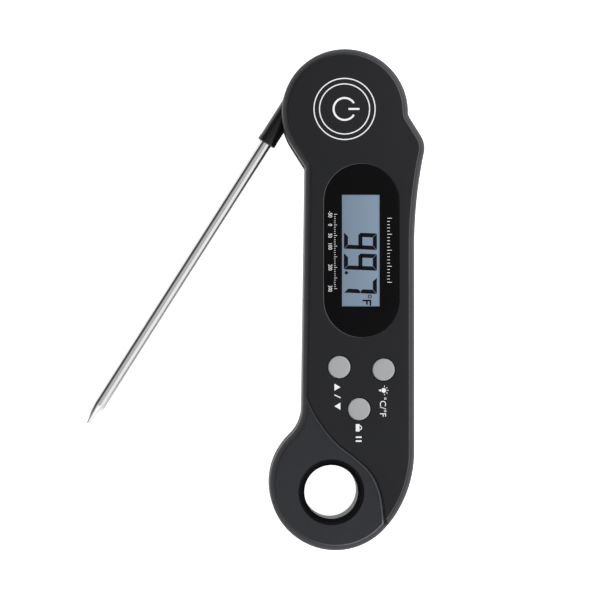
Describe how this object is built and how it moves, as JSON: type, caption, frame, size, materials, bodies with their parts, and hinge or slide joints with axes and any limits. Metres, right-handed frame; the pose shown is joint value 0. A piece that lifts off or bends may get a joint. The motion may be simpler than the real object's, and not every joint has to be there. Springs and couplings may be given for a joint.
{
  "type": "folding probe meat thermometer",
  "caption": "Pocket digital meat thermometer with a steel probe that folds out from a round head, a display, push buttons and a hanging ring.",
  "frame": {"origin": "on the flat back face, on the axis that the probe turns about", "axes": "+Z out of the display side, +Y from the hanging ring to the round head, +X to the right as the display is seen"},
  "size_m": [0.105, 0.1554, 0.0182],
  "materials": {
    "black_plastic": "fine satin mould texture",
    "gloss_black_plastic": "glossy",
    "tinted_lens": "polished, tinted",
    "lcd_grey": "polarised glass, blue grey",
    "white_plastic": "matt",
    "clear_plastic": "clear",
    "grey_button": "satin",
    "black_rubber": "matt",
    "green_board": "solder mask",
    "steel": "fine brushed",
    "plated_brass": "plated",
    "glass_bead": "glossy bead",
    "white_wire": "matt insulation"
  },
  "bodies": {
    "housing": {"front_cover": "black_plastic", "back_cover": "black_plastic", "display_lens": "tinted_lens", "lcd_glass": "lcd_grey", "lcd_frame": "white_plastic", "light_guide": "clear_plastic", "backlight_led": "white_plastic", "zebra_strip": "black_rubber", "circuit_board": "green_board", "controller_chip": "black_plastic", "reed_switch": "clear_plastic", "max_min_switch": "black_plastic", "light_switch": "black_plastic", "hold_switch": "black_plastic", "coin_cell": "steel", "battery_spring_negative": "plated_brass", "battery_clip_positive": "plated_brass", "back_magnet": "steel", "housing_screw_1": "steel", "housing_screw_2": "steel", "housing_screw_3": "steel", "housing_screw_4": "steel", "housing_screw_5": "steel", "lead_tail": "white_wire", "hub_seal_back": "black_rubber", "hub_seal_front": "black_rubber"},
    "probe": {"probe_hub": "gloss_black_plastic", "probe_tube": "steel", "thermistor": "glass_bead", "sensor_lead": "white_wire", "hub_magnet": "steel"},
    "max_min_key": {"max_min_button": "grey_button", "max_min_plunger": "grey_button"},
    "light_key": {"light_button": "grey_button", "light_plunger": "grey_button"},
    "hold_key": {"hold_button": "grey_button", "hold_plunger": "grey_button"},
    "door": {"battery_door": "black_plastic", "door_seal": "black_rubber"}
  },
  "joints": [
    {"name": "probe_fold", "type": "hinge", "parent": "housing", "child": "probe", "pos_m": [0, 0, 0.009], "axis": [0, 0, -1], "range_deg": [-32.43, 147.57]},
    {"name": "max_min_press", "type": "slide", "parent": "housing", "child": "max_min_key", "axis": [0, 0, -1], "range_m": [0, 0.0004], "stiffness_N_per_m": 1000},
    {"name": "light_press", "type": "slide", "parent": "housing", "child": "light_key", "axis": [0, 0, -1], "range_m": [0, 0.0004], "stiffness_N_per_m": 1000},
    {"name": "hold_press", "type": "slide", "parent": "housing", "child": "hold_key", "axis": [0, 0, -1], "range_m": [0, 0.0004], "stiffness_N_per_m": 1000},
    {"name": "door_turn", "type": "hinge", "parent": "housing", "child": "door", "pos_m": [0.0041, -0.056, 0], "axis": [0, 0, -1], "range_deg": [0, 40]}
  ]
}
